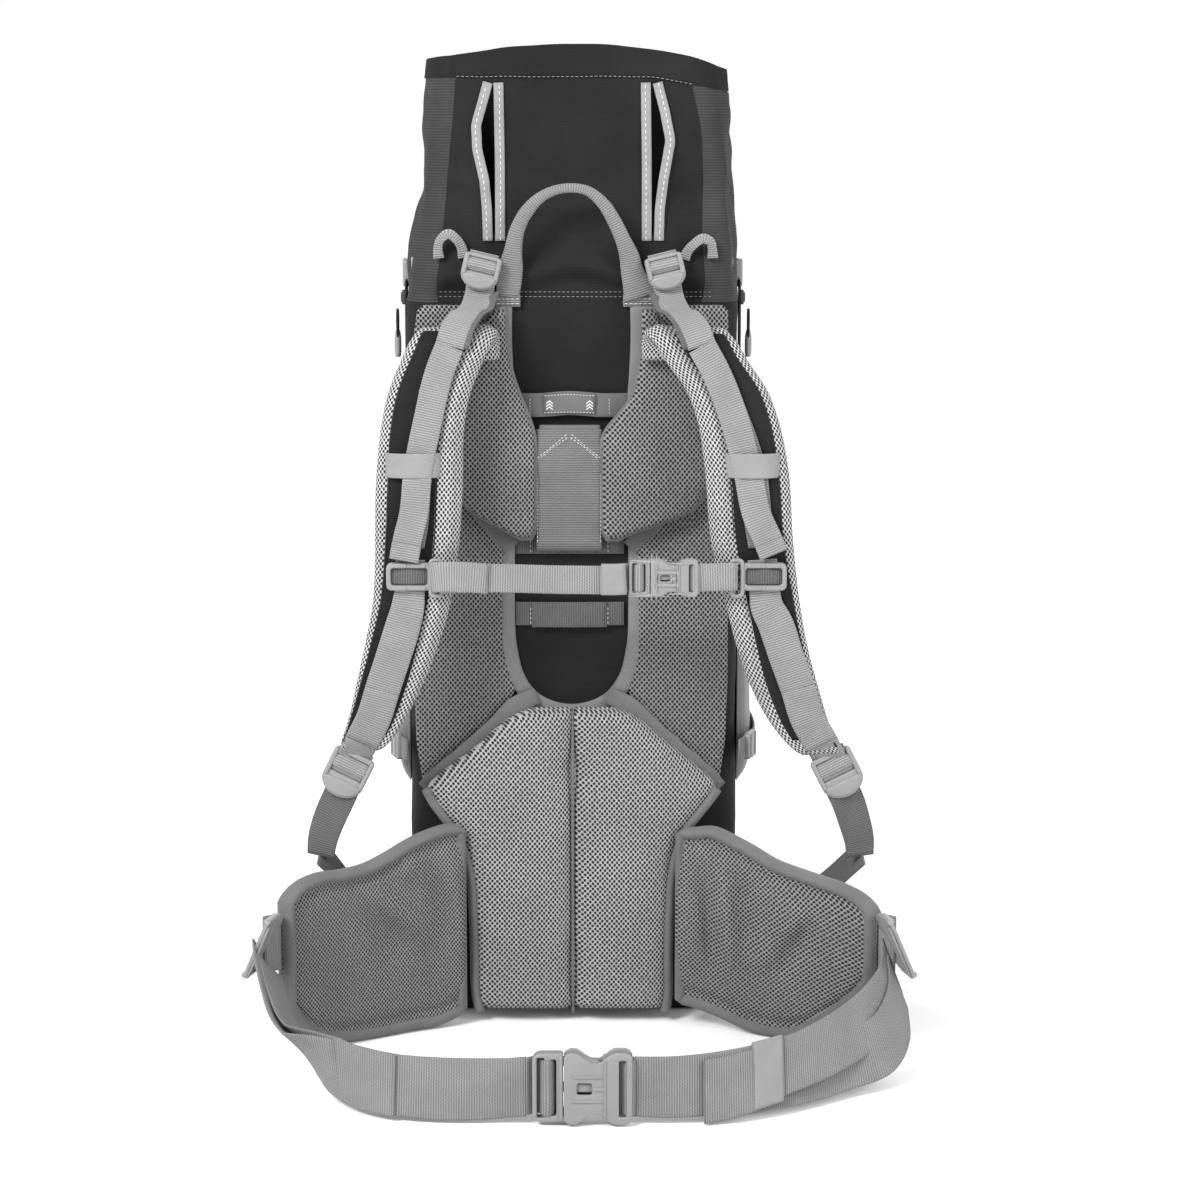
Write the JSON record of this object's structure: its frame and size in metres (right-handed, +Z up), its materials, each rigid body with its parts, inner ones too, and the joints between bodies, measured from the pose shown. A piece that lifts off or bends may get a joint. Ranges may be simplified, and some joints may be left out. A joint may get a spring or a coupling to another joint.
{
  "type": "carrier backpack",
  "caption": "Tall soft carrier backpack with an open roll-top collar, two arm slits, adjustable torso harness, chest strap and padded hip belt.",
  "frame": {"origin": "middle of the flat base panel's underside", "axes": "+Z up, +Y away from the wearer, +X to the right as seen facing the harness"},
  "size_m": [0.5459, 0.549, 0.861],
  "materials": {
    "body_nylon": "fine ribbed nylon weave",
    "collar_side_nylon": "fine ribbed nylon weave",
    "air_mesh": "open spacer mesh over foam",
    "grey_webbing": "flat ribbed webbing",
    "binding_tape": "woven tape",
    "stretch_pocket": "stretch knit",
    "grey_plastic": "moulded, fine satin",
    "frame_sheet_plastic": "smooth sheet",
    "stay_aluminium": "flat bar"
  },
  "bodies": {
    "pack": {"back_panel": "body_nylon", "front_panel": "body_nylon", "side_panel_left": "body_nylon", "side_panel_right": "body_nylon", "base_panel": "body_nylon", "frame_sheet": "frame_sheet_plastic", "frame_stays": "stay_aluminium", "collar_back_lower": "body_nylon", "collar_back_centre": "body_nylon", "collar_back_left": "body_nylon", "collar_back_right": "body_nylon", "collar_front": "collar_side_nylon", "hem_band": "body_nylon", "slit_bindings": "binding_tape", "back_mesh_left": "air_mesh", "back_mesh_right": "air_mesh", "lumbar_pad_left": "air_mesh", "lumbar_pad_right": "air_mesh", "window_border": "binding_tape", "slot_bands": "binding_tape", "arrow_tag": "binding_tape", "gear_loops": "grey_webbing", "front_pocket": "body_nylon", "side_pocket_left": "stretch_pocket", "side_pocket_right": "stretch_pocket", "compression_straps": "grey_webbing", "lower_webbing_left": "grey_webbing", "lower_webbing_right": "grey_webbing"},
    "harness": {"yoke_pad_left": "body_nylon", "yoke_pad_right": "body_nylon", "yoke_strap": "grey_webbing"},
    "strap_left": {"shoulder_pad_left": "air_mesh", "rail_webbing_left": "grey_webbing", "lifter_webbing_left": "grey_webbing"},
    "lower_lock_left": {"lower_lock_left": "grey_plastic"},
    "lifter_lock_left": {"lifter_lock_left": "grey_plastic"},
    "sternum_left": {"sternum_slider_left": "grey_plastic", "sternum_webbing_left": "grey_webbing"},
    "wing_left": {"hip_pad_left": "air_mesh", "hip_webbing_left": "grey_webbing"},
    "hip_adjuster_left": {"hip_adjuster_left": "grey_plastic"},
    "zip_slider_left": {"zip_slider_left": "grey_plastic"},
    "zip_pull_left": {"zip_pull_left": "grey_plastic"},
    "strap_right": {"shoulder_pad_right": "air_mesh", "rail_webbing_right": "grey_webbing", "lifter_webbing_right": "grey_webbing"},
    "lower_lock_right": {"lower_lock_right": "grey_plastic"},
    "lifter_lock_right": {"lifter_lock_right": "grey_plastic"},
    "sternum_right": {"sternum_slider_right": "grey_plastic", "sternum_webbing_right": "grey_webbing", "sternum_female": "grey_plastic"},
    "wing_right": {"hip_pad_right": "air_mesh", "hip_webbing_right": "grey_webbing", "hip_female": "grey_plastic"},
    "hip_adjuster_right": {"hip_adjuster_right": "grey_plastic"},
    "zip_slider_right": {"zip_slider_right": "grey_plastic"},
    "zip_pull_right": {"zip_pull_right": "grey_plastic"},
    "sternum_plug": {"sternum_male": "grey_plastic"},
    "hip_plug": {"hip_male": "grey_plastic"},
    "handle": {"grab_handle": "grey_webbing"}
  },
  "joints": [
    {"name": "torso_adjust", "type": "slide", "parent": "pack", "child": "harness", "axis": [0, 0, 1], "range_m": [-0.05, 0], "deforming": ["lifter_webbing_left", "lifter_webbing_right", "lower_webbing_left", "lower_webbing_right"]},
    {"name": "strap_left_swing", "type": "hinge", "parent": "harness", "child": "strap_left", "pos_m": [-0.095, -0.151, 0.604], "axis": [-1, 0, 0], "range_deg": [0, 30], "deforming": ["lifter_webbing_left", "lifter_webbing_right", "lower_webbing_left", "lower_webbing_right"]},
    {"name": "lower_lock_left_tilt", "type": "hinge", "parent": "strap_left", "child": "lower_lock_left", "pos_m": [-0.189, -0.181, 0.241], "axis": [-0.8733, 0, 0.4872], "range_deg": [0, 25], "deforming": ["lower_webbing_left"]},
    {"name": "lifter_lock_left_tilt", "type": "hinge", "parent": "pack", "child": "lifter_lock_left", "pos_m": [-0.076, -0.134, 0.681], "axis": [-1, 0, 0], "range_deg": [0, 12], "deforming": ["lifter_webbing_left"]},
    {"name": "sternum_left_slide", "type": "slide", "parent": "strap_left", "child": "sternum_left", "axis": [0, 0, 1], "range_m": [-0.02, 0.02], "deforming": ["lifter_webbing_left"]},
    {"name": "wing_left_swing", "type": "hinge", "parent": "pack", "child": "wing_left", "pos_m": [-0.101, -0.151, 0.083], "axis": [0, 0, -1], "range_deg": [0, 30], "deforming": ["lower_webbing_left"]},
    {"name": "hip_adjuster_left_tilt", "type": "hinge", "parent": "wing_left", "child": "hip_adjuster_left", "pos_m": [-0.2535, -0.26, 0.094], "axis": [0, 0, -1], "range_deg": [0, 20], "deforming": ["hip_webbing_left"]},
    {"name": "zip_left_slide", "type": "slide", "parent": "pack", "child": "zip_slider_left", "axis": [0, 0, -1], "range_m": [0, 0.25]},
    {"name": "zip_pull_left_swing", "type": "hinge", "parent": "zip_slider_left", "child": "zip_pull_left", "pos_m": [-0.156, -0.055, 0.634], "axis": [0, 1, 0], "range_deg": [0, 60]},
    {"name": "strap_right_swing", "type": "hinge", "parent": "harness", "child": "strap_right", "pos_m": [0.095, -0.151, 0.604], "axis": [-1, 0, 0], "range_deg": [0, 30], "deforming": ["lifter_webbing_left", "lifter_webbing_right", "lower_webbing_left", "lower_webbing_right"]},
    {"name": "lower_lock_right_tilt", "type": "hinge", "parent": "strap_right", "child": "lower_lock_right", "pos_m": [0.2245, -0.181, 0.241], "axis": [-0.8733, 0, -0.4872], "range_deg": [0, 25], "deforming": ["lower_webbing_right"]},
    {"name": "lifter_lock_right_tilt", "type": "hinge", "parent": "pack", "child": "lifter_lock_right", "pos_m": [0.079, -0.134, 0.681], "axis": [-1, 0, 0], "range_deg": [0, 12], "deforming": ["lifter_webbing_right"]},
    {"name": "sternum_right_slide", "type": "slide", "parent": "strap_right", "child": "sternum_right", "axis": [0, 0, 1], "range_m": [-0.02, 0.02], "deforming": ["lifter_webbing_right"]},
    {"name": "wing_right_swing", "type": "hinge", "parent": "pack", "child": "wing_right", "pos_m": [0.101, -0.151, 0.083], "axis": [0, 0, 1], "range_deg": [0, 30], "deforming": ["lower_webbing_right"]},
    {"name": "hip_adjuster_right_tilt", "type": "hinge", "parent": "wing_right", "child": "hip_adjuster_right", "pos_m": [0.2665, -0.258, 0.09], "axis": [0, 0, 1], "range_deg": [0, 20], "deforming": ["hip_webbing_right"]},
    {"name": "zip_right_slide", "type": "slide", "parent": "pack", "child": "zip_slider_right", "axis": [0, 0, -1], "range_m": [0, 0.25]},
    {"name": "zip_pull_right_swing", "type": "hinge", "parent": "zip_slider_right", "child": "zip_pull_right", "pos_m": [0.156, -0.055, 0.634], "axis": [0, -1, 0], "range_deg": [0, 60]},
    {"name": "sternum_release", "type": "slide", "parent": "sternum_left", "child": "sternum_plug", "axis": [-1, 0, 0], "range_m": [0, 0.03], "deforming": ["sternum_webbing_left"]},
    {"name": "hip_release", "type": "slide", "parent": "wing_left", "child": "hip_plug", "axis": [-1, 0, 0], "range_m": [0, 0.04], "deforming": ["hip_webbing_left"]},
    {"name": "handle_swing", "type": "hinge", "parent": "pack", "child": "handle", "pos_m": [0.004, -0.123, 0.649], "axis": [1, 0, 0], "range_deg": [0, 80]}
  ],
  "couplings": [
    {"joint": "strap_right_swing", "follows": "strap_left_swing", "ratio": 1},
    {"joint": "wing_right_swing", "follows": "wing_left_swing", "ratio": 1},
    {"joint": "sternum_right_slide", "follows": "sternum_left_slide", "ratio": 1}
  ]
}
